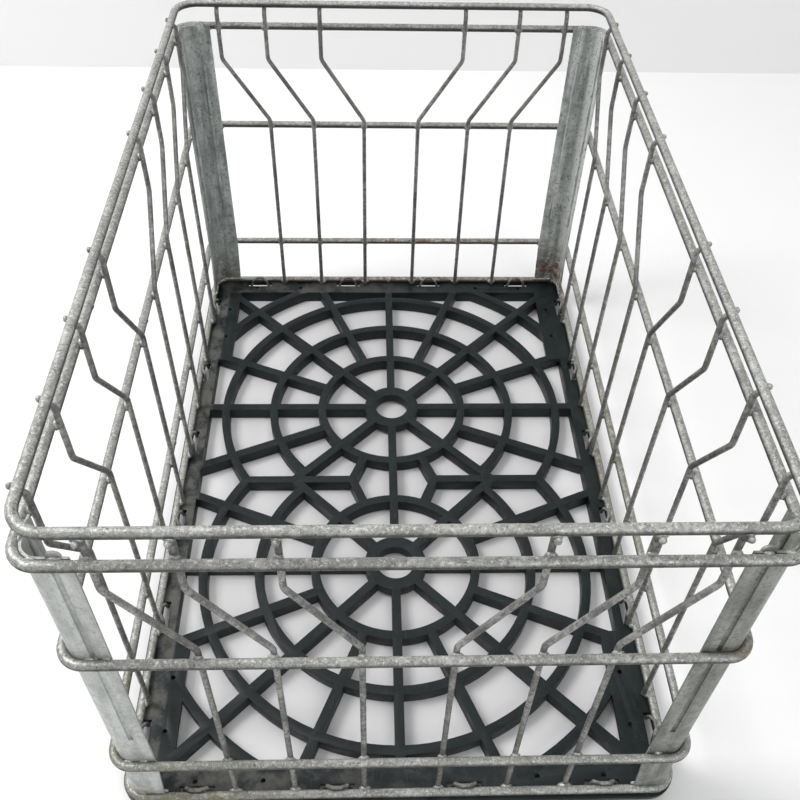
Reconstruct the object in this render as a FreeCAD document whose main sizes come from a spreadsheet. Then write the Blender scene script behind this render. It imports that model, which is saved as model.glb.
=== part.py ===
import FreeCAD, Part
import math
import os
import Sketcher
from FreeCAD import Placement, Rotation, Vector

# Milk bottle crate: five wire rings, four sheet corner posts and 28 wall staves welded into a
# basket, with a moulded bottom insert held under the base ring by bent wire clips.
# X is the width, Y the length and Z the height. The insert rests on the floor at Z = 0.

SIZES = {
    # wire rings, measured between wire centres
    "ring_length": 477.6,
    "ring_width": 323.2,
    "rim_inset": 3.1,
    "ring_corner": 11.5,
    "rim_corner": 15.0,
    "ring_wire": 5.2,
    "rim_height": 275.0,
    "upper_drop": 18.0,
    "middle_height": 175.2,
    "lower_height": 58.2,
    # wall staves: their places are fractions of half a wall, above and below the jog, and the
    # last one of each wall stands a gap away from the post
    "stave_wire": 3.2,
    "stave_bend": 8.0,
    "rim_bend": 4.0,
    "rim_overhang": 1.7,
    "jog_top_gap": 24.0,
    "jog_bottom_gap": 6.2,
    "end_inner_high": 0.338,
    "end_inner_low": 0.136,
    "end_middle_high": 0.591,
    "end_middle_low": 0.389,
    "end_post_gap": 6.627,
    "end_outer_low": 0.605,
    "side_inner_high": 0.239,
    "side_inner_low": 0.096,
    "side_second_high": 0.463,
    "side_second_low": 0.318,
    "side_third_high": 0.683,
    "side_third_low": 0.544,
    "side_post_gap": 3.301,
    "side_outer_low": 0.754,
    "right_shift_high": 6.3,
    "right_shift_low": 1.5,
    # corner posts
    "post_leg": 21.8,
    "post_sheet": 1.2,
    "post_above": 1.5,
    "ankle_below": 4.2,
    "post_flare": 1.6,
    "bead_place": 14.0,
    "bead_radius": 1.4,
    "bead_sink": 0.4,
    "bead_bottom": 87.0,
    "tab_place": 15.5,
    "tab_radius": 3.2,
    "tab_sink": 0.7,
    # bottom insert
    "end_margin": 4.2,
    "side_margin": 3.9,
    "insert_corner": 18.0,
    "insert_depth": 10.8,
    "flange_sheet": 3.2,
    "skirt_sheet": 3.5,
    "end_ledge": 16.3,
    "side_ledge": 12.6,
    "opening_corner": 6.0,
    "gusset_width": 11.5,
    "gusset_length": 90.0,
    "hub_spacing": 152.7,
    "hub_radius": 22.0,
    "hub_hole": 13.2,
    "hub_depth": 8.0,
    "web_depth": 10.0,
    "web_rib": 6.2,
    "web_ring_inner": 60.5,
    "web_ring_middle": 100.0,
    "web_ring_outer": 139.0,
    "web_ring_corner": 171.0,
    "peg_hole": 3.0,
    "end_peg_inner": 0.51,
    "end_peg_outer": 0.76,
    "end_peg_line": 0.96,
    "side_peg_inner": 0.68,
    "side_peg_outer": 0.83,
    "side_peg_line": 0.9,
    # clips: how far they stand from the places given below
    "clip_wire": 2.4,
    "clip_bend": 0.9,
    "end_clip_gap": 16.022,
    "end_clip_shift": 3.516,
    "side_clip_gap": 16.075,
    "side_clip_gap_middle": 12.907,
    "side_clip_shift": 3.772,
    "slot_length": 21.0,
    "slot_width": 5.0,
    "slot_under": 0.6,
}

# Sizes that follow those above, so that pieces stay in touch when one of those changes.
FOLLOWING = {
    "upper_height": "sizes.rim_height - sizes.upper_drop",
    # the base ring lies on the insert
    "base_height": "sizes.insert_depth + sizes.ring_wire / 2",
    "jog_top": "sizes.rim_height - sizes.upper_drop - sizes.jog_top_gap",
    "jog_bottom": "sizes.middle_height + sizes.jog_bottom_gap",
    # the last stave of each wall stands a gap away from the post
    "end_outer_high": "1 - (sizes.ring_wire + 2 * sizes.post_leg + 2 * sizes.end_post_gap)"
                      " / sizes.ring_width",
    "side_outer_high": "1 - (sizes.ring_wire + 2 * sizes.post_leg + 2 * sizes.side_post_gap)"
                       " / sizes.ring_length",
    "post_top": "sizes.rim_height - sizes.upper_drop + sizes.post_above",
    "post_foot_top": "sizes.lower_height - sizes.ankle_below",
    "insert_length": "sizes.ring_length + 2 * sizes.end_margin",
    "insert_width": "sizes.ring_width + 2 * sizes.side_margin",
    "opening_length": "sizes.ring_length - 2 * sizes.end_ledge",
    "opening_width": "sizes.ring_width - 2 * sizes.side_ledge",
    # clips, by their distance from the middle of a wall: the inner ones stand a gap away from a
    # stave, the outer ones nearly halfway between the last stave and the post
    "end_clip_inner": "sizes.end_inner_low * sizes.ring_width / 2 + sizes.end_clip_gap",
    "end_clip_outer": "((sizes.end_outer_low + 1) * sizes.ring_width / 2 - sizes.ring_wire / 2"
                      " - sizes.post_leg) / 2 + sizes.end_clip_shift",
    "side_clip_inner": "sizes.side_inner_low * sizes.ring_length / 2 + sizes.side_clip_gap",
    "side_clip_middle": "sizes.side_third_low * sizes.ring_length / 2 - sizes.side_clip_gap_middle",
    "side_clip_outer": "((sizes.side_outer_low + 1) * sizes.ring_length / 2 - sizes.ring_wire / 2"
                       " - sizes.post_leg) / 2 + sizes.side_clip_shift",
    "slot_inset": "sizes.ring_wire / 2 - sizes.slot_under",
}

END_STAVES = ("inner", "middle", "outer")
SIDE_STAVES = ("inner", "second", "third", "outer")

doc = FreeCAD.newDocument("milk_bottle_crate")
sheet = doc.addObject("Spreadsheet::Sheet", "sizes")
for row, (alias, value) in enumerate(SIZES.items(), start=1):
    sheet.set(f"B{row}", str(value))
    sheet.setAlias(f"B{row}", alias)
places = doc.addObject("App::VarSet", "places")
for alias, expression in FOLLOWING.items():
    places.addProperty("App::PropertyFloat", alias)
    places.setExpression(alias, expression)
doc.recompute()


def size(alias):
    """The value of one size."""
    if alias in FOLLOWING:
        return float(getattr(places, alias))
    return float(sheet.get(alias))


def link(alias):
    """How an expression names a size."""
    return f"places.{alias}" if alias in FOLLOWING else f"sizes.{alias}"


# ---------------------------------------------------------------- sketches in bodies

def new_body(label):
    body = doc.addObject("PartDesign::Body", label)
    body.Label = label
    return body


def new_sketch(body, name, plane):
    """An empty sketch on one of the body's own origin planes."""
    sketch = body.newObject("Sketcher::SketchObject", name)
    planes = {part.Role: part for part in body.Origin.OriginFeatures}
    sketch.AttachmentSupport = (planes[plane], [""])
    sketch.MapMode = "FlatFace"
    return sketch


def dimension(sketch, name, expression, *constraint):
    """Add a named dimension that follows an expression."""
    index = sketch.addConstraint(Sketcher.Constraint(*constraint))
    sketch.renameConstraint(index, name)
    sketch.setExpression(f"Constraints.{name}", expression)


def quarter_arc(x, y, radius, start):
    """A quarter circle round x, y that starts at an angle given in degrees."""
    circle = Part.Circle(Vector(x, y, 0), Vector(0, 0, 1), radius)
    return Part.ArcOfCircle(circle, math.radians(start), math.radians(start + 90))


def rounded_rectangle(sketch, name, width, length, corner):
    """A rectangle with round corners about the origin. The sizes are (value, expression)."""
    half_x = width[0] / 2
    half_y = length[0] / 2
    radius = corner[0]
    flat_x = half_x - radius
    flat_y = half_y - radius
    first = sketch.addGeometry([
        Part.LineSegment(Vector(-flat_x, -half_y, 0), Vector(flat_x, -half_y, 0)),
        quarter_arc(flat_x, -flat_y, radius, -90),
        Part.LineSegment(Vector(half_x, -flat_y, 0), Vector(half_x, flat_y, 0)),
        quarter_arc(flat_x, flat_y, radius, 0),
        Part.LineSegment(Vector(flat_x, half_y, 0), Vector(-flat_x, half_y, 0)),
        quarter_arc(-flat_x, flat_y, radius, 90),
        Part.LineSegment(Vector(-half_x, flat_y, 0), Vector(-half_x, -flat_y, 0)),
        quarter_arc(-flat_x, -flat_y, radius, 180),
    ], False)[0]
    front, front_right, right, back_right, back, back_left, left, front_left = range(first, first + 8)
    for step in range(8):
        following = first + (step + 1) % 8
        sketch.addConstraint(Sketcher.Constraint("Tangent", first + step, 2, following, 1))
    sketch.addConstraint([
        Sketcher.Constraint("Horizontal", front),
        Sketcher.Constraint("Horizontal", back),
        Sketcher.Constraint("Vertical", right),
        Sketcher.Constraint("Vertical", left),
        Sketcher.Constraint("Equal", front_right, back_right),
        Sketcher.Constraint("Equal", front_right, back_left),
        Sketcher.Constraint("Equal", front_right, front_left),
        Sketcher.Constraint("Symmetric", front, 1, back, 1, -1, 1),
    ])
    dimension(sketch, name + "_width", width[1], "DistanceX", left, 2, right, 1, width[0])
    dimension(sketch, name + "_length", length[1], "DistanceY", front, 2, back, 1, length[0])
    dimension(sketch, name + "_corner", corner[1], "Radius", front_right, radius)


def circle_at(sketch, x, y, radius):
    """A circle whose centre and radius follow the sheet. Each size is (value, expression)."""
    circle = Part.Circle(Vector(x[0], y[0], 0), Vector(0, 0, 1), radius[0])
    index = sketch.addGeometry(circle, False)
    for name, axis, place in (("across", "DistanceX", x), ("up", "DistanceY", y)):
        if place[0] == 0:
            line = -2 if axis == "DistanceX" else -1
            sketch.addConstraint(Sketcher.Constraint("PointOnObject", index, 3, line))
        elif place[0] > 0:
            dimension(sketch, name, place[1], axis, -1, 1, index, 3, place[0])
        else:
            dimension(sketch, name, f"-({place[1]})", axis, index, 3, -1, 1, -place[0])
    dimension(sketch, "radius", radius[1], "Radius", index, radius[0])


def pad(body, sketch, name, length, reverse=False):
    feature = body.newObject("PartDesign::Pad", name)
    feature.Profile = sketch
    feature.setExpression("Length", length)
    feature.Reversed = reverse
    return feature


# ---------------------------------------------------------------- wire rings

def make_ring(label, width, length, corner, height):
    """One welded ring: a round wire along a rectangle with round corners."""
    body = new_body(label)
    body.setExpression("Placement.Base.z", height)
    path = new_sketch(body, label + "_path", "XY_Plane")
    rounded_rectangle(path, "ring", width, length, (size(corner), f"sizes.{corner}"))
    wire = new_sketch(body, label + "_wire", "YZ_Plane")
    side = (-length[0] / 2, f"-({length[1]}) / 2")
    circle_at(wire, side, (0, "0"), (size("ring_wire") / 2, "sizes.ring_wire / 2"))
    doc.recompute()
    pipe = body.newObject("PartDesign::AdditivePipe", label + "_pipe")
    pipe.Profile = wire
    pipe.Spine = (path, [f"Edge{number}" for number in range(1, 9)])
    return body


def make_rings():
    full_width = (size("ring_width"), "sizes.ring_width")
    full_length = (size("ring_length"), "sizes.ring_length")
    inset = 2 * size("rim_inset")
    rim_width = (full_width[0] - inset, "sizes.ring_width - 2 * sizes.rim_inset")
    rim_length = (full_length[0] - inset, "sizes.ring_length - 2 * sizes.rim_inset")
    rings = [make_ring("top_rim", rim_width, rim_length, "rim_corner", "sizes.rim_height")]
    for level in ("upper", "middle", "lower", "base"):
        rings.append(make_ring(level + "_ring", full_width, full_length, "ring_corner",
                               link(level + "_height")))
    return rings


# ---------------------------------------------------------------- corner posts

def angle_section(sketch):
    """The section of a corner post: two legs of sheet that meet in a round corner."""
    leg = size("post_leg")
    thick = size("post_sheet")
    radius = size("ring_corner") - size("ring_wire") / 2
    sketch.addGeometry([
        Part.LineSegment(Vector(0, -leg, 0), Vector(0, -radius, 0)),
        quarter_arc(-radius, -radius, radius, 0),
        Part.LineSegment(Vector(-radius, 0, 0), Vector(-leg, 0, 0)),
        Part.LineSegment(Vector(-leg, 0, 0), Vector(-leg, -thick, 0)),
        Part.LineSegment(Vector(-leg, -thick, 0), Vector(-radius, -thick, 0)),
        quarter_arc(-radius, -radius, radius - thick, 0),
        Part.LineSegment(Vector(-thick, -radius, 0), Vector(-thick, -leg, 0)),
        Part.LineSegment(Vector(-thick, -leg, 0), Vector(0, -leg, 0)),
    ], False)
    out_y, out_arc, out_x, end_x, in_x, in_arc, in_y, end_y = range(8)
    sketch.addConstraint([
        Sketcher.Constraint("Tangent", out_y, 2, out_arc, 1),
        Sketcher.Constraint("Tangent", out_arc, 2, out_x, 1),
        Sketcher.Constraint("Coincident", out_x, 2, end_x, 1),
        Sketcher.Constraint("Coincident", end_x, 2, in_x, 1),
        Sketcher.Constraint("Tangent", in_x, 2, in_arc, 2),
        Sketcher.Constraint("Tangent", in_arc, 1, in_y, 1),
        Sketcher.Constraint("Coincident", in_y, 2, end_y, 1),
        Sketcher.Constraint("Coincident", end_y, 2, out_y, 1),
        Sketcher.Constraint("Coincident", out_arc, 3, in_arc, 3),
        Sketcher.Constraint("Vertical", out_y),
        Sketcher.Constraint("Vertical", in_y),
        Sketcher.Constraint("Vertical", end_x),
        Sketcher.Constraint("Horizontal", out_x),
        Sketcher.Constraint("Horizontal", in_x),
        Sketcher.Constraint("Horizontal", end_y),
        Sketcher.Constraint("PointOnObject", out_x, 2, -1),
        Sketcher.Constraint("PointOnObject", out_y, 1, -2),
    ])
    dimension(sketch, "corner", "sizes.ring_corner - sizes.ring_wire / 2", "Radius", out_arc, radius)
    dimension(sketch, "sheet", "sizes.post_sheet", "DistanceY", end_x, 2, end_x, 1, thick)
    dimension(sketch, "leg_x", "sizes.post_leg", "DistanceX", out_x, 2, -1, 1, leg)
    dimension(sketch, "leg_y", "sizes.post_leg", "DistanceY", out_y, 1, -1, 1, leg)


def make_post(label, x_sign, y_sign, turn):
    """One corner post, drawn with its outer corner at the origin and turned to its corner."""
    body = new_body(label)
    half_x = "(sizes.ring_width / 2 - sizes.ring_wire / 2)"
    half_y = "(sizes.ring_length / 2 - sizes.ring_wire / 2)"
    body.Placement = Placement(Vector(0, 0, 0), Rotation(Vector(0, 0, 1), turn))
    body.setExpression("Placement.Base.x", f"{x_sign} * {half_x}")
    body.setExpression("Placement.Base.y", f"{y_sign} * {half_y}")

    straight = new_sketch(body, label + "_section", "XY_Plane")
    straight.setExpression("AttachmentOffset.Base.z", "places.post_foot_top")
    angle_section(straight)
    pad(body, straight, label + "_straight", "places.post_top - places.post_foot_top")

    ankle = new_sketch(body, label + "_ankle", "XY_Plane")
    ankle.setExpression("AttachmentOffset.Base.z", "places.post_foot_top")
    angle_section(ankle)
    sole = new_sketch(body, label + "_sole", "XY_Plane")
    sole.setExpression("AttachmentOffset.Base.x", "sizes.post_flare")
    sole.setExpression("AttachmentOffset.Base.y", "sizes.post_flare")
    # the foot stands on the base ring
    sole.setExpression("AttachmentOffset.Base.z", "places.base_height + sizes.ring_wire / 2")
    angle_section(sole)
    doc.recompute()
    foot = body.newObject("PartDesign::AdditiveLoft", label + "_foot")
    foot.Profile = ankle
    foot.Sections = [sole]
    foot.Ruled = True

    add_beads(body, label)
    return body


def add_beads(body, label):
    """A stiffening bead and a raised tab on each leg. The bead is a rib inside and a groove
    outside, set back from the leg's face because the corner already curves away there."""
    radius = size("bead_radius")
    sink = size("bead_sink")
    place = (-size("bead_place"), "-(sizes.bead_place)")
    tab_place = (-size("tab_place"), "-(sizes.tab_place)")
    rib_depth = (-radius - sink, "-(sizes.bead_radius + sizes.bead_sink)")
    groove_depth = (-sink / 2, "-(sizes.bead_sink / 2)")
    height = "places.post_top - sizes.bead_bottom"
    for leg in ("x", "y"):
        for kind, depth in (("rib", rib_depth), ("groove", groove_depth)):
            round_end = new_sketch(body, f"{label}_{kind}_{leg}", "XY_Plane")
            round_end.setExpression("AttachmentOffset.Base.z", "sizes.bead_bottom")
            across, up = (place, depth) if leg == "x" else (depth, place)
            circle_at(round_end, across, up, (radius, "sizes.bead_radius"))
            doc.recompute()
            if kind == "rib":
                pad(body, round_end, f"{label}_bead_{leg}", height)
            else:
                groove = body.newObject("PartDesign::Pocket", f"{label}_groove_cut_{leg}")
                groove.Profile = round_end
                groove.setExpression("Length", height)
                groove.Reversed = True
        tab = new_sketch(body, f"{label}_tab_{leg}", "XZ_Plane" if leg == "x" else "YZ_Plane")
        inward = "sizes.tab_sink" if leg == "x" else "-sizes.tab_sink"
        tab.setExpression("AttachmentOffset.Base.z", inward)
        circle_at(tab, tab_place, (size("post_top"), "places.post_top"),
                  (size("tab_radius"), "sizes.tab_radius"))
        doc.recompute()
        pad(body, tab, f"{label}_raised_tab_{leg}", "sizes.post_sheet", reverse=leg == "y")


def make_posts():
    return [
        make_post("corner_post_back_right", 1, 1, 0),
        make_post("corner_post_back_left", -1, 1, 90),
        make_post("corner_post_front_left", -1, -1, 180),
        make_post("corner_post_front_right", 1, -1, 270),
    ]


# ---------------------------------------------------------------- bent round wires

def bent_wire(points, bends, thickness):
    """A solid round wire through the points, with one bend radius for each inner point."""
    edges = []
    start = points[0]
    for before, corner, after, bend in zip(points, points[1:], points[2:], bends):
        back = (before - corner).normalize()
        ahead = (after - corner).normalize()
        half_angle = back.getAngle(ahead) / 2
        reach = bend / math.tan(half_angle)
        middle = (back + ahead).normalize() * (bend / math.sin(half_angle) - bend)
        entry = corner + back * reach
        leave = corner + ahead * reach
        edges.append(Part.LineSegment(start, entry).toShape())
        edges.append(Part.Arc(entry, corner + middle, leave).toShape())
        start = leave
    edges.append(Part.LineSegment(start, points[-1]).toShape())
    section = Part.Wire(Part.Circle(points[0], points[1] - points[0], thickness / 2).toShape())
    return Part.Wire(edges).makePipeShell([section], True, False)


def wall_frame(wall):
    """The turn that takes a wall drawn at -Y, seen from outside, to its own side."""
    turns = {"front": 0, "right": 90, "back": 180, "left": 270}
    return Placement(Vector(0, 0, 0), Rotation(Vector(0, 0, 1), turns[wall]))


def wall_size(wall, kind):
    """How far a wall is from the middle (out) or half how long it is (along)."""
    end_wall = wall in ("front", "back")
    use_length = end_wall == (kind == "out")
    return size("ring_length" if use_length else "ring_width") / 2


def place_feature(label, shape, wall):
    feature = doc.addObject("Part::Feature", label)
    feature.Label = label
    feature.Shape = shape
    feature.Placement = wall_frame(wall)
    return feature


def make_stave(label, wall, high, low):
    """One wall stave: welded inside the rings, jogged beside the hand gap and turned out
    under the top rim. The places high and low are along the wall, above and below the jog."""
    ring = size("ring_wire") / 2
    touch = ring + size("stave_wire") / 2
    ring_line = wall_size(wall, "out")
    depth = -(ring_line - touch)
    rim_line = ring_line - size("rim_inset")
    # the slanted end rises outward at 45 degrees and touches the rim's underside
    slant = touch / math.sqrt(2)
    turn_height = size("rim_height") - slant - (rim_line + slant + depth)
    run = rim_line + ring + size("rim_overhang") + depth
    points = [
        Vector(low, depth, size("base_height") - 1.0),
        Vector(low, depth, size("jog_bottom")),
        Vector(high, depth, size("jog_top")),
        Vector(high, depth, turn_height),
        Vector(high, depth - run, turn_height + run),
    ]
    bends = [size("stave_bend"), size("stave_bend"), size("rim_bend")]
    return place_feature(label, bent_wire(points, bends, size("stave_wire")), wall)


def make_staves():
    staves = []
    for wall in ("front", "back", "left", "right"):
        kind, names = ("end", END_STAVES) if wall in ("front", "back") else ("side", SIDE_STAVES)
        half = wall_size(wall, "along")
        places = []
        for side in (-1, 1):
            # the right wall's front half stands a little further back than its mirror place
            shifted = wall == "right" and side == -1
            shift_high = size("right_shift_high") if shifted else 0
            shift_low = size("right_shift_low") if shifted else 0
            for name in names:
                places.append((side * half * size(f"{kind}_{name}_high") + shift_high,
                               side * half * size(f"{kind}_{name}_low") + shift_low))
        for number, (high, low) in enumerate(sorted(places), start=1):
            staves.append(make_stave(f"{wall}_stave_{number}", wall, high, low))
    return staves


# ---------------------------------------------------------------- insert clips

def clip_shape(middle, out):
    """A wire clip: an arch over the base ring whose legs spread and hook under the insert."""
    ring = size("ring_wire") / 2
    wire = size("clip_wire")
    touch = ring + wire / 2
    level = size("base_height")
    hook = size("insert_depth") - size("flange_sheet") - wire / 2 - 0.2
    inset = size("slot_inset") + size("slot_width") / 2 - 0.3
    half_slot = size("slot_length") / 2
    leg = half_slot - wire / 2 - 0.3
    half_arch = [
        Vector(half_slot + wire, inset - out, hook),
        Vector(leg, inset - out, hook),
        Vector(leg - 3.0, inset - out, level + 0.4 * touch),
        Vector(leg - 6.5, 0.6 * touch - out, level + 0.95 * touch),
    ]
    other_half = [Vector(-point.x, point.y, point.z) for point in reversed(half_arch)]
    points = half_arch + other_half
    clip = bent_wire(points, [size("clip_bend")] * (len(points) - 2), wire)
    clip.translate(Vector(middle, 0, 0))
    return clip


def make_clips():
    clips = []
    for wall in ("front", "back", "left", "right"):
        if wall in ("front", "back"):
            places = [size("end_clip_inner"), size("end_clip_outer")]
        else:
            places = [size(f"side_clip_{name}") for name in ("inner", "middle", "outer")]
        out = wall_size(wall, "out")
        shapes = [clip_shape(side * place, out) for side in (-1, 1) for place in places]
        clips.append(place_feature(f"{wall}_clips", Part.makeCompound(shapes), wall))
    return clips


# ---------------------------------------------------------------- bottom insert

def block(name, base, extent):
    """A box given by the expressions of its low corner and of its three sizes."""
    thing = doc.addObject("Part::Box", name)
    for axis, place in zip("xyz", base):
        thing.setExpression(f"Placement.Base.{axis}", place)
    for side, length in zip(("Length", "Width", "Height"), extent):
        thing.setExpression(side, length)
    return thing


def disc(name, radius, y="0", angle=360, turn=0, depth="sizes.web_depth"):
    """A round plate that hangs down from the insert's top."""
    thing = doc.addObject("Part::Cylinder", name)
    thing.Placement = Placement(Vector(0, 0, 0), Rotation(Vector(0, 0, 1), turn))
    thing.Angle = angle
    thing.setExpression("Radius", radius)
    thing.setExpression("Height", depth)
    thing.setExpression("Placement.Base.y", y)
    thing.setExpression("Placement.Base.z", f"sizes.insert_depth - {depth}")
    return thing


def cut(name, base, tool):
    thing = doc.addObject("Part::Cut", name)
    thing.Base = base
    thing.Tool = tool
    return thing


def fuse(name, shapes):
    thing = doc.addObject("Part::MultiFuse", name)
    thing.Shapes = shapes
    return thing


def make_frame():
    """The insert's flat flange and the skirt round its opening."""
    body = new_body("insert_frame")
    outer = [(size(name), link(name))
             for name in ("insert_width", "insert_length", "insert_corner")]
    opening = [(size(name), link(name))
               for name in ("opening_width", "opening_length", "opening_corner")]
    wall = size("skirt_sheet")
    skirt = [(opening[0][0] + 2 * wall, "places.opening_width + 2 * sizes.skirt_sheet"),
             (opening[1][0] + 2 * wall, "places.opening_length + 2 * sizes.skirt_sheet"),
             (opening[2][0] + wall, "sizes.opening_corner + sizes.skirt_sheet")]
    flat = new_sketch(body, "flange_outline", "XY_Plane")
    flat.setExpression("AttachmentOffset.Base.z", "sizes.insert_depth - sizes.flange_sheet")
    rounded_rectangle(flat, "edge", *outer)
    rounded_rectangle(flat, "opening", *opening)
    pad(body, flat, "flange", "sizes.flange_sheet")
    upright = new_sketch(body, "skirt_outline", "XY_Plane")
    rounded_rectangle(upright, "skirt", *skirt)
    rounded_rectangle(upright, "opening", *opening)
    pad(body, upright, "skirt", "sizes.insert_depth")
    return body


def make_web():
    """Half of the insert's grating: a hub, rings and spokes, cut off at the crate's middle."""
    hub_line = "sizes.hub_spacing / 2"
    pieces = []
    for name, angle, turn in (("inner", 360, 0), ("middle", 270, -45),
                              ("outer", 360, 0), ("corner", 150, 15)):
        radius = f"sizes.web_ring_{name}"
        rim = disc(f"web_{name}_disc", radius, hub_line, angle, turn)
        core = disc(f"web_{name}_core", f"{radius} - sizes.web_rib", hub_line)
        pieces.append(cut(f"web_{name}_ring", rim, core))
    pieces.append(disc("web_hub", "sizes.hub_radius", hub_line, depth="sizes.hub_depth"))
    for number in range(16):
        start = "sizes.hub_hole + 2" if number % 2 == 0 else "sizes.web_ring_inner - 2"
        pieces.append(make_spoke(number * 22.5, start))
    bar_half = "sizes.hub_spacing / 2 * tan(22.5)"
    bar_end = "sqrt(sizes.web_ring_outer ^ 2 - sizes.hub_spacing ^ 2 / 4) - 2"
    for side in ("left", "right"):
        left = f"-({bar_end})" if side == "left" else bar_half
        pieces.append(block(f"web_bar_{side}",
                            (left, "0", "sizes.insert_depth - sizes.web_depth"),
                            (f"{bar_end} - {bar_half}", "sizes.web_rib / 2", "sizes.web_depth")))
    whole = fuse("web_whole", pieces)
    reach = "sizes.skirt_sheet / 2"
    region = block("web_region",
                   (f"-places.opening_width / 2 - {reach}", "0", "0"),
                   (f"places.opening_width + 2 * {reach}", f"places.opening_length / 2 + {reach}",
                    "sizes.insert_depth"))
    web = doc.addObject("Part::Common", "web_back")
    web.Base = whole
    web.Tool = region
    mirrored = doc.addObject("Part::Mirroring", "web_front")
    mirrored.Source = web
    mirrored.Normal = Vector(0, 1, 0)
    return [web, mirrored]


def make_spoke(angle, start):
    """One spoke of the grating, from a start radius out past the insert's skirt."""
    spoke = doc.addObject("Part::Box", "web_spoke")
    spoke.setExpression("Length", f"places.insert_length / 2 - ({start})")
    spoke.setExpression("Width", "sizes.web_rib")
    spoke.setExpression("Height", "sizes.web_depth")
    spoke.Placement = Placement(Vector(0, 0, 0), Rotation(Vector(0, 0, 1), angle))
    across = f"sizes.web_rib / 2 * sin({angle})"
    along = f"-(sizes.web_rib / 2) * cos({angle})"
    spoke.setExpression("Placement.Base.x", f"({start}) * cos({angle}) + {across}")
    spoke.setExpression("Placement.Base.y",
                        f"sizes.hub_spacing / 2 + ({start}) * sin({angle}) + {along}")
    spoke.setExpression("Placement.Base.z", "sizes.insert_depth - sizes.web_depth")
    return spoke


def make_gussets():
    """The wider flats of the flange beside its four corners."""
    gussets = []
    for x_side in ("left", "right"):
        for y_side in ("front", "back"):
            x = "-places.opening_width / 2" if x_side == "left" \
                else "places.opening_width / 2 - sizes.gusset_width"
            y = "-places.opening_length / 2" if y_side == "front" \
                else "places.opening_length / 2 - sizes.gusset_length"
            gussets.append(block(f"gusset_{y_side}_{x_side}",
                                 (x, y, "sizes.insert_depth - sizes.flange_sheet"),
                                 ("sizes.gusset_width", "sizes.gusset_length",
                                  "sizes.flange_sheet")))
    return gussets


def clip_places():
    """Expressions for the middle of every clip: (which wall, side of it, place along it)."""
    for side in (-1, 1):
        for hand in (-1, 1):
            for name in ("inner", "outer"):
                yield "end", side, f"{hand} * places.end_clip_{name}"
            for name in ("inner", "middle", "outer"):
                yield "side", side, f"{hand} * places.side_clip_{name}"


def make_slots():
    """The slots that the clips' legs pass through, just inside the base ring."""
    slots = []
    width = "sizes.slot_width"
    length = "sizes.slot_length"
    low = "sizes.insert_depth - sizes.flange_sheet"
    height = "sizes.flange_sheet"
    for wall, side, along in clip_places():
        reach = "sizes.ring_length" if wall == "end" else "sizes.ring_width"
        across = f"{side} * ({reach} / 2 - places.slot_inset - {width} / 2) - {width} / 2"
        start = f"{along} - {length} / 2"
        if wall == "end":
            slots.append(block("clip_slot", (start, across, low), (length, width, height)))
        else:
            slots.append(block("clip_slot", (across, start, low), (width, length, height)))
    return slots


def make_peg_holes():
    """Small round holes through the flange and through the corner flats."""
    places = [("sizes.end_peg_outer", "sizes.end_peg_line"),
              ("sizes.end_peg_inner", "sizes.end_peg_line"),
              ("sizes.side_peg_line", "sizes.side_peg_outer"),
              ("sizes.side_peg_line", "sizes.side_peg_inner")]
    holes = []
    for x_side in (-1, 1):
        for y_side in (-1, 1):
            for across, along in places:
                hole = doc.addObject("Part::Cylinder", "peg_hole")
                hole.setExpression("Radius", "sizes.peg_hole / 2")
                hole.setExpression("Height", "sizes.insert_depth")
                hole.setExpression("Placement.Base.x", f"{x_side} * {across} * sizes.ring_width / 2")
                hole.setExpression("Placement.Base.y", f"{y_side} * {along} * sizes.ring_length / 2")
                holes.append(hole)
    return holes


def make_insert():
    solid = fuse("insert_solid", [make_frame(), *make_web(), *make_gussets()])
    hub_holes = [disc("hub_hole", "sizes.hub_hole", f"{side} * sizes.hub_spacing / 2",
                      depth="sizes.insert_depth") for side in (-1, 1)]
    openings = fuse("insert_openings", [*hub_holes, *make_slots(), *make_peg_holes()])
    insert = cut("bottom_insert", solid, openings)
    insert.Label = "bottom_insert"
    return [insert]


# ---------------------------------------------------------------- build and export

def check_objects():
    """Stop when any object of the document failed."""
    for thing in doc.Objects:
        if {"Invalid", "Error"} & set(thing.State):
            raise RuntimeError(f"{thing.Label} failed")


def export_nodes(nodes):
    os.makedirs("parts", exist_ok=True)
    for node in nodes:
        shape = node.Shape
        if shape.isNull() or not shape.isValid() or not shape.Solids:
            raise RuntimeError(f"{node.Label} has no valid solid")
        shape.exportStep(f"parts/{node.Label}.step")
        print(node.Label, len(shape.Solids), round(shape.Volume))


nodes = make_rings() + make_posts() + make_staves() + make_clips() + make_insert()
doc.recompute()
check_objects()
export_nodes(nodes)
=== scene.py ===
# %% [markdown]
# # A milk bottle crate
#
# A dairy crate is a basket of round steel wire. Five closed rings run round it, staves stand inside
# the rings and are welded to each of them, and four posts of bent sheet stiffen the corners. After
# welding, the whole basket is dipped in molten zinc, which leaves it grey, mottled and a little
# lumpy. A black plastic insert makes the bottom.
#
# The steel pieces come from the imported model, which already holds their true sizes. This script
# gives them their zinc, their dirt and their welds, and finishes the plastic insert.

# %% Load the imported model
import math
import random

import bpy
from mathutils import Matrix, Vector


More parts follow.
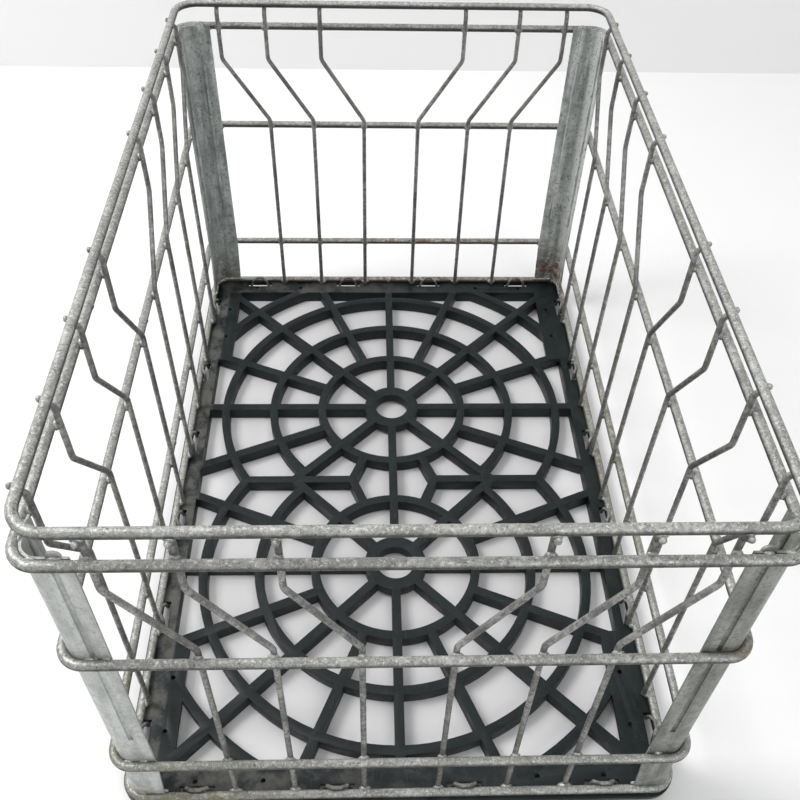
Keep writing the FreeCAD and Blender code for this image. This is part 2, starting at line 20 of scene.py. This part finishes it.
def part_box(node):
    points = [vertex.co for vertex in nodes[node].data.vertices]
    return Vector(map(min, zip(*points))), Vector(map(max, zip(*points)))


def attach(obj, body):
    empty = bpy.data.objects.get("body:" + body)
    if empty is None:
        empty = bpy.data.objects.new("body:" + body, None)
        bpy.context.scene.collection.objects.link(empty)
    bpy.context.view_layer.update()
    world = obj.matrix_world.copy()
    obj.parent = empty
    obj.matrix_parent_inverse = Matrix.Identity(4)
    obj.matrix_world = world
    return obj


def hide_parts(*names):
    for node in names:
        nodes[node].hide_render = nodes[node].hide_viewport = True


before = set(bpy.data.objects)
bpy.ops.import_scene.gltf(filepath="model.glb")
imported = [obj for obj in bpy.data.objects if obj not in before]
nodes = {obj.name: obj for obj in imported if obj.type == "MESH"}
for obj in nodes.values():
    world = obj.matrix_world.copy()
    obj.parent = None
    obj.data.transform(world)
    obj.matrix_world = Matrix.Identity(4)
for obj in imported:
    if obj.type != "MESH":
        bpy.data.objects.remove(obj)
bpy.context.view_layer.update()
MM = 0.001
print("nodes", len(nodes))

# %% [markdown]
# The welds take their places from the model's own pieces: the height of a ring is the middle of its
# box, and the place of a stave on its wall follows from the stave's box. Only the radius of the
# staves' wire is written here, because a stave's box holds its bends too.

# %% Read the sizes of the wires
RINGS = ("top_rim", "upper_ring", "middle_ring", "lower_ring", "base_ring")
WALLS = {"front": 6, "back": 6, "left": 8, "right": 8}
STAVES = [f"{wall}_stave_{number}"
          for wall, count in WALLS.items() for number in range(1, count + 1)]
POSTS = [name for name in nodes if name.startswith("corner_post")]
CLIPS = [f"{wall}_clips" for wall in WALLS]


def middle(name):
    low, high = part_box(name)
    return (Vector(low) + Vector(high)) / 2


def extent(name):
    low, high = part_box(name)
    return Vector(high) - Vector(low)


ring_radius = extent("upper_ring").z / 2
stave_radius = 1.6 * MM
print("ring wire", round(2 * ring_radius / MM, 2), "mm")


# %% [markdown]
# ## Node helpers
#
# A material is a small tree of nodes, and these helpers keep the trees short to read. They add a
# node and fill its inputs, join two sockets, make a noise, turn it into a mask by stretching a part
# of its range to 0 and 1, mix two colours, and multiply masks and strengths.

# %% Helpers for materials
def new_material(name):
    material = bpy.data.materials.new(name)
    material.use_nodes = True
    return material, material.node_tree


def add_node(tree, kind, **inputs):
    node = tree.nodes.new("ShaderNode" + kind)
    for socket, value in inputs.items():
        node.inputs[socket.replace("_", " ")].default_value = value
    return node


def join_sockets(tree, source, target):
    tree.links.new(source, target)


def noise(tree, scale, detail=4.0, roughness=0.6, stretch=(1, 1, 1)):
    """A noise pattern that sticks to the piece. Its scale is in lumps to the metre."""
    place = tree.nodes.new("ShaderNodeTexCoord")
    mapping = add_node(tree, "Mapping", Scale=stretch)
    join_sockets(tree, place.outputs["Object"], mapping.inputs["Vector"])
    pattern = add_node(tree, "TexNoise", Scale=scale, Detail=detail, Roughness=roughness)
    join_sockets(tree, mapping.outputs["Vector"], pattern.inputs["Vector"])
    return pattern.outputs["Fac"]


def mask(tree, pattern, low, high):
    """0 where the pattern is below low and 1 where it is above high, with a soft step."""
    step = add_node(tree, "MapRange", From_Min=low, From_Max=high)
    step.interpolation_type = "SMOOTHSTEP"
    join_sockets(tree, pattern, step.inputs["Value"])
    return step.outputs["Result"]


def mix_color(tree, factor, first, second):
    """first and second are colours or sockets. factor is a number or a socket."""
    mix = tree.nodes.new("ShaderNodeMix")
    mix.data_type = "RGBA"
    sockets = (mix.inputs["Factor"], mix.inputs[6], mix.inputs[7])
    for socket, value in zip(sockets, (factor, first, second)):
        if isinstance(value, bpy.types.NodeSocket):
            join_sockets(tree, value, socket)
        elif isinstance(value, (int, float)):
            socket.default_value = value
        else:
            socket.default_value = (*value, 1.0)
    return mix.outputs[2]


def maths(tree, operation, first, second):
    """One step of arithmetic. first and second are sockets or numbers."""
    node = tree.nodes.new("ShaderNodeMath")
    node.operation = operation
    node.use_clamp = operation in ("MULTIPLY", "ADD")
    for socket, value in zip(node.inputs, (first, second)):
        if isinstance(value, bpy.types.NodeSocket):
            join_sockets(tree, value, socket)
        else:
            socket.default_value = value
    return node.outputs["Value"]


def product(tree, first, *others):
    """A mask times other masks or strengths."""
    for other in others:
        first = maths(tree, "MULTIPLY", first, other)
    return first


def shade(color, share):
    """A colour made darker by a share under 1, or lighter by one over 1."""
    return [channel * share for channel in color]


# %% More helpers: where a point of a piece is and which way it faces
def facing(tree, axis):
    """How much the surface faces along an axis, from -1 to 1."""
    geometry = tree.nodes.new("ShaderNodeNewGeometry")
    parts = tree.nodes.new("ShaderNodeSeparateXYZ")
    join_sockets(tree, geometry.outputs["Normal"], parts.inputs["Vector"])
    return parts.outputs[axis]


def position(tree, axis):
    """Where the point is along an axis of its piece, in metres."""
    place = tree.nodes.new("ShaderNodeTexCoord")
    parts = tree.nodes.new("ShaderNodeSeparateXYZ")
    join_sockets(tree, place.outputs["Object"], parts.inputs["Vector"])
    return parts.outputs[axis]


def far(tree, axis):
    """How far the point is from its piece's origin along an axis."""
    return maths(tree, "ABSOLUTE", position(tree, axis), 0)


def patch(tree, place, reach):
    """A broken patch round a place on the crate, thinning out with distance."""
    where = tree.nodes.new("ShaderNodeTexCoord")
    distance = tree.nodes.new("ShaderNodeVectorMath")
    distance.operation = "DISTANCE"
    join_sockets(tree, where.outputs["Object"], distance.inputs[0])
    distance.inputs[1].default_value = place
    near = add_node(tree, "MapRange", From_Min=reach, From_Max=reach * 0.2)
    join_sockets(tree, distance.outputs["Value"], near.inputs["Value"])
    broken = mask(tree, noise(tree, 180, 6, 0.7), 0.42, 0.6)
    return product(tree, near.outputs["Result"], broken)


# %% [markdown]
# ## Zinc
#
# Hot-dip zinc is never one grey. It cools in patches, so there are large soft clouds of lighter and
# darker metal, with ragged darker patches and pits that hold dirt. The upward faces are painted
# lighter as a painted highlight, with bright flecks on them that are partly worn zinc and partly
# painted glints, and the undersides are painted dark as painted shade. Milk and dust leave a
# yellowish film, and where the zinc has gone at a joint the steel rusts. Each of the zinc's own
# marks is a noise at its own scale, laid over the last.

# %% Zinc for wires and sheet
RUST = (0.15, 0.08, 0.045)
GRIME = (0.2, 0.185, 0.115)
DRY_DIRT = (0.055, 0.053, 0.045)
# the colour of the painted shade under the wires
UNDERSIDE_SHADE = (0.045, 0.044, 0.04)


def galvanized(name, dark, light, flecks_and_glints, underside_shade, shade_from, patches=()):
    """Zinc on wire. The strength of the flecks is how strongly bright flecks show on the upward
    faces, which are partly worn zinc and partly painted glints. The strength of the underside is
    how dark the painted shade is where the wire faces down, which starts at the facing shade_from."""
    material, tree = new_material(name)
    surface = tree.nodes["Principled BSDF"]
    clouds = mask(tree, noise(tree, 45, 5, 0.65), 0.36, 0.64)
    ragged = mask(tree, noise(tree, 330, 7, 0.8), 0.45, 0.56)
    wear_and_glint_spots = mask(tree, noise(tree, 700, 5, 0.8), 0.53, 0.6)
    pits = mask(tree, noise(tree, 640, 5, 0.75), 0.57, 0.63)
    color = mix_color(tree, clouds, dark, light)
    color = mix_color(tree, product(tree, ragged, 0.6), color, shade(dark, 0.45))
    # painted highlight: the upward faces are painted lighter, and the bright flecks on them are
    # partly worn zinc and partly painted glints
    painted_highlight = mask(tree, facing(tree, "Z"), 0.25, 0.8)
    color = mix_color(tree, product(tree, painted_highlight, 0.35), color, light)
    color = mix_color(tree, product(tree, wear_and_glint_spots, flecks_and_glints, painted_highlight), color, shade(light, 1.75))
    color = mix_color(tree, product(tree, pits, 0.75), color, DRY_DIRT)
    film = mask(tree, noise(tree, 24, 6, 0.7), 0.5, 0.72)
    color = mix_color(tree, product(tree, film, 0.3), color, GRIME)
    # painted shade: the faces that look down are painted dark
    shaded_below = mask(tree, facing(tree, "Z"), shade_from, shade_from - 0.5)
    color = mix_color(tree, product(tree, shaded_below, underside_shade), color, UNDERSIDE_SHADE)
    for place, reach, tint in patches:
        color = mix_color(tree, patch(tree, place, reach), color, tint)
    join_sockets(tree, color, surface.inputs["Base Color"])
    surface.inputs["Metallic"].default_value = 0.45
    rough = add_node(tree, "MapRange", To_Min=0.36, To_Max=0.62)
    join_sockets(tree, ragged, rough.inputs["Value"])
    join_sockets(tree, rough.outputs["Result"], surface.inputs["Roughness"])
    lumps = add_node(tree, "Bump", Strength=0.6, Distance=0.6 * MM)
    join_sockets(tree, noise(tree, 300, 6, 0.65), lumps.inputs["Height"])
    join_sockets(tree, lumps.outputs["Normal"], surface.inputs["Normal"])
    return material


# the corners and joints where dirt has gathered or the zinc has gone: the middle of each patch and
# its reach in metres, and its colour
RING_PATCHES = [
    ((0.16, -0.236, 0.175), 0.016, (0.25, 0.18, 0.11)),
    ((-0.12, -0.239, 0.013), 0.07, GRIME),
    ((-0.16, -0.2, 0.058), 0.06, GRIME),
    ((0.02, 0.239, 0.013), 0.16, RUST),
    ((0.16, 0.23, 0.013), 0.05, RUST),
    ((0.16, 0.0, 0.013), 0.2, GRIME),
]
POST_PATCHES = [
    ((0.157, 0.232, 0.02), 0.05, RUST),
    ((0.15, 0.234, 0.018), 0.03, (0.25, 0.1, 0.05)),
    ((-0.157, 0.232, 0.022), 0.03, GRIME),
    ((-0.158, -0.235, 0.016), 0.02, GRIME),
]
ring_zinc = galvanized("ring_zinc", (0.21, 0.21, 0.197), (0.44, 0.445, 0.42), 0.7, 0.9, 0.55,
                       RING_PATCHES)
stave_zinc = galvanized("stave_zinc", (0.16, 0.16, 0.152), (0.36, 0.36, 0.34), 0.4, 0.6, 0.0)
clip_zinc = galvanized("clip_zinc", (0.13, 0.13, 0.12), (0.28, 0.28, 0.26), 0.4, 0.6, 0.2)
weld_zinc = galvanized("weld_zinc", (0.28, 0.28, 0.265), (0.5, 0.505, 0.475), 0.5, 0.7, 0.2)


# %% [markdown]
# The posts are rolled sheet, so their zinc is smoother: satin grey with long soft streaks down the
# sheet and a scatter of pits where milk crates rub against each other.

# %% Zinc for the sheet posts
def satin_zinc(name, dark, light, pitting, painted_highlight):
    """Zinc on sheet. pitting is how strongly the pits show, and the last strength is how bright the
    painted highlight is on the leg that faces sideways."""
    material, tree = new_material(name)
    surface = tree.nodes["Principled BSDF"]
    streaks = mask(tree, noise(tree, 160, 5, 0.6, (1, 1, 0.12)), 0.36, 0.64)
    clouds = mask(tree, noise(tree, 30, 6, 0.65), 0.35, 0.65)
    color = mix_color(tree, streaks, dark, light)
    color = mix_color(tree, product(tree, clouds, 0.45), color, shade(light, 1.15))
    blotches = mask(tree, noise(tree, 110, 7, 0.75), 0.46, 0.6)
    color = mix_color(tree, product(tree, blotches, 0.5), color, shade(dark, 0.8))
    # painted highlight: the leg that faces sideways is painted lighter
    sideways_highlight = mask(tree, maths(tree, "ABSOLUTE", facing(tree, "X"), 0), 0.4, 0.9)
    color = mix_color(tree, product(tree, sideways_highlight, painted_highlight), color, shade(light, 1.3))
    pits = mask(tree, noise(tree, 560, 6, 0.75), 0.55, 0.62)
    color = mix_color(tree, product(tree, pits, pitting), color, shade(dark, 0.35))
    for place, reach, tint in POST_PATCHES:
        color = mix_color(tree, patch(tree, place, reach), color, tint)
    join_sockets(tree, color, surface.inputs["Base Color"])
    surface.inputs["Metallic"].default_value = 0.35
    surface.inputs["Roughness"].default_value = 0.46
    lumps = add_node(tree, "Bump", Strength=0.75, Distance=1.1 * MM)
    join_sockets(tree, noise(tree, 130, 6, 0.68), lumps.inputs["Height"])
    join_sockets(tree, lumps.outputs["Normal"], surface.inputs["Normal"])
    return material


# each post has its own dark and light zinc, its pits and the strength of the painted highlight on
# its sideways leg; the back right post's paler zinc and strong highlight are painted window light
POST_LOOKS = {
    "front_left": ("bright", (0.34, 0.355, 0.34), (0.54, 0.56, 0.535), 0.4, 0.1),
    "front_right": ("dull", (0.135, 0.145, 0.125), (0.31, 0.32, 0.29), 0.7, 0.2),
    "back_right": ("pale", (0.26, 0.29, 0.28), (0.64, 0.66, 0.63), 0.85, 0.8),
    "back_left": ("dark", (0.2, 0.23, 0.22), (0.52, 0.54, 0.52), 0.75, 0.2),
}
POST_ZINC = {f"corner_post_{corner}": satin_zinc(f"{kind}_post_zinc", *look)
             for corner, (kind, *look) in POST_LOOKS.items()}


# %% [markdown]
# ## Plastic
#
# The insert is black polyethylene. It has a soft gloss, and years of bottles sliding over it have
# left fine pale scratches and a grey-brown film of dust, thickest on the left of the flat border,
# where nothing rubs it clean. The rounded edges are painted paler in broken spots, partly as wear
# from the bottles and partly as a painted highlight along the edge.

# %% Scuffed black plastic
# how far from the middle of the crate the insert's flat border starts, in metres
BORDER_FROM = {"X": 0.146, "Y": 0.22}


def scuffed_plastic(name, edge_wear_and_highlight):
    """Black plastic. The edge strength is how strongly the paler spots of a rounded edge show,
    which are partly wear and partly a painted highlight.
    """
    material, tree = new_material(name)
    surface = tree.nodes["Principled BSDF"]
    scratches = mask(tree, noise(tree, 90, 4, 0.7, (1, 9, 1)), 0.6, 0.7)
    cross_scratches = mask(tree, noise(tree, 80, 4, 0.7, (10, 1, 1)), 0.6, 0.7)
    dust = mask(tree, noise(tree, 55, 7, 0.72), 0.4, 0.62)
    upward = mask(tree, facing(tree, "Z"), 0.6, 0.95)
    beyond = [mask(tree, far(tree, axis), start, start + 3 * MM)
              for axis, start in BORDER_FROM.items()]
    border = mask(tree, maths(tree, "MAXIMUM", *beyond), 0, 1)
    color = mix_color(tree, product(tree, dust, 0.3),
                      (0.005, 0.0095, 0.0105), (0.022, 0.03, 0.032))
    rested = mask(tree, position(tree, "X"), 0.12, -0.13)
    color = mix_color(tree, product(tree, border, upward, dust, rested), color,
                      (0.09, 0.088, 0.078))
    both = maths(tree, "MAXIMUM", scratches, cross_scratches)
    color = mix_color(tree, product(tree, both, upward, 0.3), color, (0.09, 0.098, 0.1))
    if edge_wear_and_highlight:
        # wear and painted highlight: the rounded edge faces are painted paler in broken spots
        rounded = mask(tree, facing(tree, "Z"), 0.2, 0.5)
        spots = mask(tree, noise(tree, 70, 6, 0.7), 0.4, 0.55)
        color = mix_color(tree, product(tree, rounded, spots, edge_wear_and_highlight), color,
                          (0.2, 0.215, 0.215))
    join_sockets(tree, color, surface.inputs["Base Color"])
    rough = add_node(tree, "MapRange", To_Min=0.4, To_Max=0.62)
    join_sockets(tree, dust, rough.inputs["Value"])
    join_sockets(tree, rough.outputs["Result"], surface.inputs["Roughness"])
    surface.inputs["IOR"].default_value = 1.36
    bump = add_node(tree, "Bump", Strength=0.25, Distance=0.3 * MM)
    join_sockets(tree, noise(tree, 600, 4, 0.6), bump.inputs["Height"])
    join_sockets(tree, bump.outputs["Normal"], surface.inputs["Normal"])
    return material


insert_plastic = scuffed_plastic("scuffed_black_plastic", 0)
insert_edge_highlight = scuffed_plastic("worn_and_highlit_plastic_edge", 0.85)

# %% Give the model's pieces their finish
FINISHES = [
    (ring_zinc, RINGS),
    (stave_zinc, STAVES),
    *((material, [name]) for name, material in POST_ZINC.items()),
    (clip_zinc, CLIPS),
    (insert_plastic, ["bottom_insert"]),
]
for material, names in FINISHES:
    for name in names:
        for slot in nodes[name].material_slots:
            slot.material = material
print("finished nodes", sum(len(names) for _, names in FINISHES))


# %% [markdown]
# ## The insert's edges
#
# A moulded edge is never sharp. The insert's own mesh comes as loose triangles, so a copy of it is
# merged, its flat faces are joined again, and every edge gets a small round that catches the light.

# %% Round the insert's edges
EDGE_ROUND = 0.65 * MM


def finish_insert():
    source = nodes["bottom_insert"]
    insert = source.copy()
    insert.data = source.data.copy()
    insert.name = "moulded_insert"
    bpy.context.scene.collection.objects.link(insert)
    insert.parent = None
    insert.matrix_world = source.matrix_world
    bpy.ops.object.select_all(action="DESELECT")
    bpy.context.view_layer.objects.active = insert
    insert.select_set(True)
    bpy.ops.object.transform_apply(location=True, rotation=True, scale=True)
    bpy.ops.object.mode_set(mode="EDIT")
    bpy.ops.mesh.select_all(action="SELECT")
    bpy.ops.mesh.remove_doubles(threshold=0.01 * MM)
    bpy.ops.mesh.dissolve_limited(angle_limit=math.radians(1))
    bpy.ops.mesh.normals_make_consistent(inside=False)
    bpy.ops.object.mode_set(mode="OBJECT")
    rounding = insert.modifiers.new("rounding", "BEVEL")
    rounding.width = EDGE_ROUND
    rounding.segments = 2
    rounding.limit_method = "ANGLE"
    rounding.angle_limit = math.radians(50)
    rounding.use_clamp_overlap = True
    # the round's faces take the paler edge finish, which is partly wear and partly a painted
    # highlight
    insert.data.materials.append(insert_edge_highlight)
    rounding.material = 1
    bpy.ops.object.modifier_apply(modifier="rounding")
    bpy.ops.object.shade_smooth_by_angle(angle=math.radians(35))
    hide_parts("bottom_insert")
    return insert


insert_piece = finish_insert()
print("insert faces", len(insert_piece.data.polygons))

# %% [markdown]
# ## Welds
#
# Each crossing is a resistance weld: the two wires are pressed together hot and sink into each
# other a little, and the zinc that runs into the notch rounds it off. One lumpy nugget is modelled
# here and copied to every crossing, each time turned and stretched a little differently. The
# sizes of a nugget run along the wall, outward and upward.

# %% Model one weld nugget
WALL_RINGS = RINGS[1:]
CROSSING_WELD = (2.7 * MM, 1.6 * MM, 2.8 * MM)
BASE_WELD = (3.8 * MM, 2.0 * MM, 2.4 * MM)
END_BEAD = (1.5 * MM, 1.4 * MM, 1.5 * MM)
RIM_WELD = (2.5 * MM, 1.5 * MM, 1.6 * MM)
SEAM_LUMP = (2.6 * MM, 1.0 * MM, 1.3 * MM)


def model_nugget():
    bpy.ops.object.select_all(action="DESELECT")
    bpy.ops.mesh.primitive_uv_sphere_add(segments=10, ring_count=6, radius=1.0)
    nugget = bpy.context.object
    nugget.name = "nugget_pattern"
    bpy.ops.object.mode_set(mode="EDIT")
    bpy.ops.mesh.select_all(action="SELECT")
    bpy.ops.transform.vertex_random(offset=0.16, uniform=0.3, seed=4)
    bpy.ops.object.mode_set(mode="OBJECT")
    bpy.ops.object.shade_smooth()
    return nugget


pattern = model_nugget()


def wall_of(name):
    """The outward direction and the direction along the wall that a piece belongs to."""
    outward = {"front": (0, -1, 0), "back": (0, 1, 0), "left": (-1, 0, 0), "right": (1, 0, 0)}
    out = Vector(outward[name.split("_")[0]])
    return out, Vector((abs(out.y), abs(out.x), 0))


def stave_line(name):
    """Where a stave stands along its wall, above and below its jog."""
    _, along = wall_of(name)
    low, high = (Vector(corner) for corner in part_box(name))
    ends = [low.dot(along) + stave_radius, high.dot(along) - stave_radius]
    ends.sort(key=abs)
    return ends[1], ends[0]


def put_nugget(place, out, along, sizes, chance):
    """A copy of the nugget with its own mesh, turned and stretched by chance."""
    piece = bpy.data.objects.new("nugget", pattern.data.copy())
    bpy.context.scene.collection.objects.link(piece)
    spin = Matrix.Rotation(chance.uniform(0, math.tau), 4, out)
    stretch = [size * chance.uniform(0.85, 1.15) for size in sizes]
    turn = Matrix((along, out, Vector((0, 0, 1)))).transposed().to_4x4()
    shape = Matrix.Diagonal((*stretch, 1.0))
    piece.data.transform(Matrix.Translation(place) @ turn @ shape @ turn.inverted() @ spin)
    return piece


def join_pieces(pieces, name):
    """One object of several pieces, with the zinc of a weld, that rides on the basket."""
    bpy.ops.object.select_all(action="DESELECT")
    for piece in pieces:
        piece.select_set(True)
    bpy.context.view_layer.objects.active = pieces[0]
    bpy.ops.object.join()
    joined = bpy.context.object
    joined.name = name
    joined.data.materials.clear()
    joined.data.materials.append(weld_zinc)
    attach(joined, "root")
    return joined


# %% Weld the staves to the rings
def ring_contact(out):
    """How far out the staves touch the wall rings."""
    return abs(extent("upper_ring").dot(out)) / 2 - 2 * ring_radius


def weld_staves():
    chance = random.Random(11)
    made = 0
    for ring in WALL_RINGS:
        welds = []
        for stave in STAVES:
            out, along = wall_of(stave)
            above, shaded_below = stave_line(stave)
            height = middle(ring).z
            across = above if ring == "upper_ring" else shaded_below
            place = out * ring_contact(out) + along * across + Vector((0, 0, height))
            place += along * chance.uniform(-0.3, 0.3) * MM
            sizes = BASE_WELD if ring == "base_ring" else CROSSING_WELD
            welds.append(put_nugget(place, out, along, sizes, chance))
        made += len(welds)
        join_pieces(welds, f"{ring}_welds")
    return made


# %% [markdown]
# The stave ends are cut off short outside the top rim. The zinc leaves a round bead on each cut
# end, and a thicker drop under the rim where the stave touches it.

# %% Weld the stave ends to the rim
def weld_ends():
    chance = random.Random(5)
    drops = []
    beads = []
    rim_height = middle("top_rim").z
    for stave in STAVES:
        out, along = wall_of(stave)
        above, _ = stave_line(stave)
        low, high = (Vector(corner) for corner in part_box(stave))
        reach = max(abs(low.dot(out)), abs(high.dot(out))) - stave_radius / math.sqrt(2)
        tip = out * reach + along * above + Vector((0, 0, high.z - stave_radius / math.sqrt(2)))
        beads.append(put_nugget(tip, out, along, END_BEAD, chance))
        rim_line = abs(extent("top_rim").dot(out)) / 2 - ring_radius
        slant = Vector((0, 0, rim_height)) + out * rim_line
        slant += (out - Vector((0, 0, 1))) * (ring_radius / math.sqrt(2))
        drops.append(put_nugget(slant + along * above, out, along, RIM_WELD, chance))
    join_pieces(beads, "stave_end_beads")
    join_pieces(drops, "rim_welds")
    return len(beads) + len(drops)


# %% [markdown]
# The posts are welded to the rings on both legs, and the zinc fills the seam between the sheet and
# the round wire with a row of soft lumps.

# %% Weld the posts to the rings
ROW_LENGTH = 20 * MM
ROW_STEP = 4.4 * MM
SEAM_SIDES = (-1.5 * MM, 1.3 * MM)
AXES = (Vector((1, 0, 0)), Vector((0, 1, 0)))


def weld_posts():
    chance = random.Random(23)
    lumps = []
    for ring in WALL_RINGS:
        for post in POSTS:
            low, high = (Vector(corner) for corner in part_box(post))
            center = (low + high) / 2
            for out, along in (AXES, AXES[::-1]):
                out = out * math.copysign(1, center.dot(out))
                toward = math.copysign(1, center.dot(along))
                edge = ring_contact(along) - ROW_LENGTH
                for step in range(4):
                    spot = (edge + step * ROW_STEP + chance.uniform(-0.8, 0.8) * MM) * toward
                    height = middle(ring).z + chance.choice(SEAM_SIDES)
                    if ring == "base_ring":
                        height = middle(ring).z + ring_radius
                    place = out * ring_contact(out) + along * spot + Vector((0, 0, height))
                    lumps.append(put_nugget(place, out, along, SEAM_LUMP, chance))
    join_pieces(lumps, "post_welds")
    return len(lumps)


# %% [markdown]
# A ring is one length of wire whose ends are butt-welded. The weld squeezes out a thin collar of
# steel, which stays visible on one wall of each ring below the rim.

# %% Butt-weld collars
COLLAR_RISE = 0.45 * MM
COLLAR_WIDTH = 2.4 * MM


def model_collar():
    bpy.ops.object.select_all(action="DESELECT")
    bpy.ops.mesh.primitive_cylinder_add(vertices=14, radius=ring_radius + COLLAR_RISE,
                                        depth=COLLAR_WIDTH)
    collar = bpy.context.object
    collar.name = "collar_pattern"
    bpy.ops.object.mode_set(mode="EDIT")
    bpy.ops.mesh.select_all(action="SELECT")
    bpy.ops.mesh.bevel(offset=0.7 * MM, segments=2, affect="EDGES")
    bpy.ops.transform.vertex_random(offset=0.12 * MM, seed=2)
    bpy.ops.object.mode_set(mode="OBJECT")
    bpy.ops.object.shade_smooth()
    return collar


def place_collars():
    """The weld of each wall ring: on the left wall, and for the base ring on the back."""
    collar = model_collar()
    along_y = Matrix.Rotation(math.pi / 2, 4, "X")
    along_x = Matrix.Rotation(math.pi / 2, 4, "Y")
    left = -abs(extent("upper_ring").x) / 2 + ring_radius
    back = abs(extent("upper_ring").y) / 2 - ring_radius
    places = [
        ("upper_ring", Vector((left, -82 * MM, 0)), along_y),
        ("middle_ring", Vector((left, -1 * MM, 0)), along_y),
        ("lower_ring", Vector((left, -3 * MM, 0)), along_y),
        ("base_ring", Vector((0, back, 0)), along_x),
    ]
    collars = []
    for ring, place, turn in places:
        piece = bpy.data.objects.new("collar", collar.data.copy())
        bpy.context.scene.collection.objects.link(piece)
        place.z = middle(ring).z
        piece.data.transform(Matrix.Translation(place) @ turn)
        collars.append(piece)
    join_pieces(collars, "butt_weld_collars")
    bpy.data.objects.remove(collar)
    return len(collars)


print("stave welds", weld_staves())
print("end welds", weld_ends())
print("post welds", weld_posts())
print("collars", place_collars())
bpy.data.objects.remove(pattern)

# %% [markdown]
# ## The room
#
# The crate stands on a pale floor that runs up into a pale wall close behind it. The floor is a
# plane whose far edge is extruded upwards, and a soft painted shadow makes it greyer under the
# crate.

# %% Floor and wall
FLOOR_SIZE = 6.0
FLOOR_MIDDLE_Y = -2.32
WALL_HEIGHT = 3.0
PALE_PAINT = (0.87, 0.865, 0.86)
CRATE_SHADOW_PAINT = (0.67, 0.655, 0.662)


def pale_room():
    bpy.ops.object.select_all(action="DESELECT")
    bpy.ops.mesh.primitive_plane_add(size=FLOOR_SIZE, location=(0, FLOOR_MIDDLE_Y, 0))
    room = bpy.context.object
    room.name = "room"
    bpy.ops.object.mode_set(mode="EDIT")
    bpy.ops.mesh.select_all(action="DESELECT")
    bpy.ops.object.mode_set(mode="OBJECT")
    for edge in room.data.edges:
        edge.select = all(room.data.vertices[v].co.y > 0 for v in edge.vertices)
    bpy.ops.object.mode_set(mode="EDIT")
    bpy.ops.mesh.select_mode(type="EDGE")
    bpy.ops.mesh.extrude_region_move(TRANSFORM_OT_translate={"value": (0, 0, WALL_HEIGHT)})
    bpy.ops.object.mode_set(mode="OBJECT")
    material, tree = new_material("pale_paint")
    across = mask(tree, far(tree, "X"), 0.15, 0.11)
    from_middle = maths(tree, "SUBTRACT", position(tree, "Y"), -FLOOR_MIDDLE_Y)
    along = mask(tree, maths(tree, "ABSOLUTE", from_middle, 0), 0.23, 0.19)
    # painted shadow: the floor under the crate is painted greyer
    color = mix_color(tree, product(tree, across, along, 0.9), PALE_PAINT, CRATE_SHADOW_PAINT)
    join_sockets(tree, color, tree.nodes["Principled BSDF"].inputs["Base Color"])
    tree.nodes["Principled BSDF"].inputs["Roughness"].default_value = 0.7
    room.data.materials.append(material)


pale_room()


# %% Light
def soft_light(name, place, size, power):
    bpy.ops.object.light_add(type="AREA", location=place)
    light = bpy.context.object
    light.name = name
    light.data.size = size
    light.data.energy = power
    light.rotation_euler = (-Vector(place)).to_track_quat("-Z", "Y").to_euler()


soft_light("window", (-1.15, 0.15, 1.7), 0.8, 24)
soft_light("ceiling", (0.2, -0.3, 2.3), 1.6, 8)
soft_light("doorway", (0.8, -1.9, 1.5), 1.2, 16)
world = bpy.data.worlds.new("studio")
world.use_nodes = True
world.node_tree.nodes["Background"].inputs["Color"].default_value = (0.9, 0.92, 0.95, 1)
world.node_tree.nodes["Background"].inputs["Strength"].default_value = 0.42
bpy.context.scene.world = world
bpy.context.scene.view_settings.view_transform = "Standard"

# %% Camera
CAMERA_PLACE = Vector((-18.5, -442.2, 567.3)) * MM
CAMERA_AIM = Vector((0.03367, 0.68635, -0.72649))
CAMERA_ROLL = math.radians(1.88)
bpy.ops.object.camera_add(location=CAMERA_PLACE)
camera = bpy.context.object
turn = CAMERA_AIM.to_track_quat("-Z", "Y").to_matrix() @ Matrix.Rotation(CAMERA_ROLL, 3, "Z")
camera.rotation_euler = turn.to_euler()
camera.data.sensor_width = 36
camera.data.lens = 41.25
camera.data.clip_start = 0.01
bpy.context.scene.camera = camera
